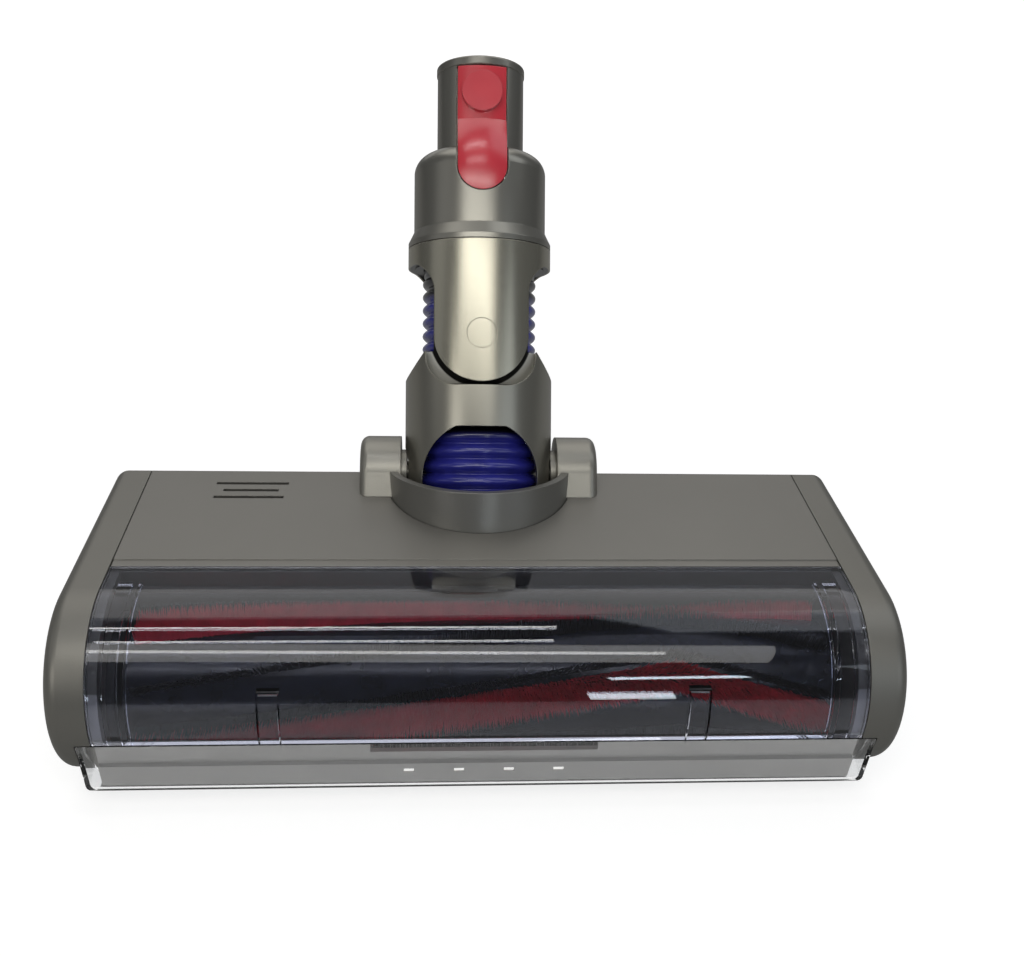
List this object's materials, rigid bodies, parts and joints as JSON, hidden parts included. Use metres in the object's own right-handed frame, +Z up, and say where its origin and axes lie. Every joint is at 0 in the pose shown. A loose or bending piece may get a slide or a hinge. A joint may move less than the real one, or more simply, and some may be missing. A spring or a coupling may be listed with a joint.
{
  "type": "vacuum floor nozzle",
  "caption": "Motorised vacuum floor nozzle with a clear brush window, front lamps, a swivelling neck with bellows hose and a latched wand stub.",
  "frame": {"origin": "on the floor under the middle of the whole part, with the neck raised as in the picture", "axes": "+X to the right along the head seen from the front, +Y from the brush window to the back, +Z up"},
  "size_m": [0.2518, 0.1978, 0.1761],
  "materials": {
    "housing_grey": "satin metallic",
    "neck_grey": "satin metallic",
    "cup_grey": "satin",
    "cap_grey": "satin metallic",
    "window_clear": "smoky clear",
    "strip_clear": "clear",
    "stub_grey": "satin metallic",
    "hose_violet": "matte",
    "latch_red": "gloss",
    "bristle_red": "nylon tufts",
    "strip_black": "matte",
    "brush_dark": "satin",
    "inner_black": "matte",
    "wheel_black": "matte",
    "glide_grey": "matte",
    "felt_red": "napped",
    "steel": "machined",
    "bearing_bronze": "plain",
    "board_green": "circuit board",
    "lamp_white": "clear dome",
    "contact_gold": "polished",
    "pin_silver": "satin",
    "motor_steel": "drawn"
  },
  "bodies": {
    "floor_head": {"upper_housing": "housing_grey", "lower_housing": "housing_grey", "left_end_cap": "cap_grey", "clear_cover": "window_clear", "lamp_strip": "strip_clear", "lamp_board": "board_green", "head_lamps": "lamp_white", "neck_cup": "cup_grey", "left_neck_ear": "neck_grey", "right_neck_ear": "neck_grey", "left_neck_pin": "pin_silver", "right_neck_pin": "pin_silver", "suction_duct": "inner_black", "motor_pod": "inner_black", "brush_motor": "motor_steel", "gearbox": "inner_black", "pod_bearing": "bearing_bronze", "control_board": "board_green", "felt_strip": "felt_red", "glide_pads": "glide_grey", "housing_screws": "steel", "left_axle": "steel", "right_axle": "steel"},
    "drive": {"drive_shaft": "steel"},
    "brush_cap": {"right_end_cap": "cap_grey", "cap_bush": "bearing_bronze"},
    "brush_bar": {"brush_core": "brush_dark", "drive_hub": "inner_black", "brush_end_plug": "inner_black", "red_bristles": "bristle_red", "black_strips": "strip_black"},
    "cap_lock": {"cap_lock": "inner_black"},
    "left_wheel": {"left_wheel": "wheel_black"},
    "right_wheel": {"right_wheel": "wheel_black"},
    "yoke": {"lower_neck": "neck_grey", "lower_hose": "hose_violet"},
    "arm": {"swivel_arm": "neck_grey", "connector_tube": "stub_grey", "front_swing_pin": "neck_grey", "back_swing_pin": "neck_grey", "upper_hose": "hose_violet", "contact_block": "inner_black", "contact_pins": "contact_gold", "latch_pin": "steel"},
    "latch": {"release_latch": "latch_red", "latch_spring": "steel"}
  },
  "joints": [
    {"name": "neck_pitch", "type": "hinge", "parent": "floor_head", "child": "yoke", "pos_m": [0, 0.00258, 0.053], "axis": [1, 0, 0], "range_deg": [-50, 41.4], "deforming": ["lower_hose"]},
    {"name": "neck_swing", "type": "hinge", "parent": "yoke", "child": "arm", "pos_m": [0, 0.03017, 0.09043], "axis": [0, -0.8049, 0.5934], "range_deg": [-45, 45], "deforming": ["upper_hose"]},
    {"name": "latch_press", "type": "hinge", "parent": "arm", "child": "latch", "pos_m": [0, 0.04746, 0.14353], "axis": [-1, 0, 0], "range_deg": [0, 3], "stiffness_Nm_per_rad": 4, "springref_deg": -1.15, "deforming": ["latch_spring"]},
    {"name": "brush_cap_slide", "type": "slide", "parent": "floor_head", "child": "brush_cap", "axis": [1, 0, 0], "range_m": [0, 0.24]},
    {"name": "brush_spin", "type": "hinge", "parent": "brush_cap", "child": "brush_bar", "pos_m": [0.114, -0.06942, 0.026], "axis": [1, 0, 0], "continuous": true},
    {"name": "drive_spin", "type": "hinge", "parent": "floor_head", "child": "drive", "pos_m": [-0.02, -0.06942, 0.026], "axis": [1, 0, 0], "continuous": true},
    {"name": "cap_lock_turn", "type": "hinge", "parent": "floor_head", "child": "cap_lock", "pos_m": [0.101, -0.02942, 0.003], "axis": [0, 0, -1], "range_deg": [0, 90]},
    {"name": "left_wheel_spin", "type": "hinge", "parent": "floor_head", "child": "left_wheel", "pos_m": [-0.088, -0.00942, 0.007], "axis": [1, 0, 0], "continuous": true},
    {"name": "right_wheel_spin", "type": "hinge", "parent": "floor_head", "child": "right_wheel", "pos_m": [0.088, -0.00942, 0.007], "axis": [1, 0, 0], "continuous": true}
  ],
  "couplings": [
    {"joint": "drive_spin", "follows": "brush_spin", "ratio": 1}
  ]
}
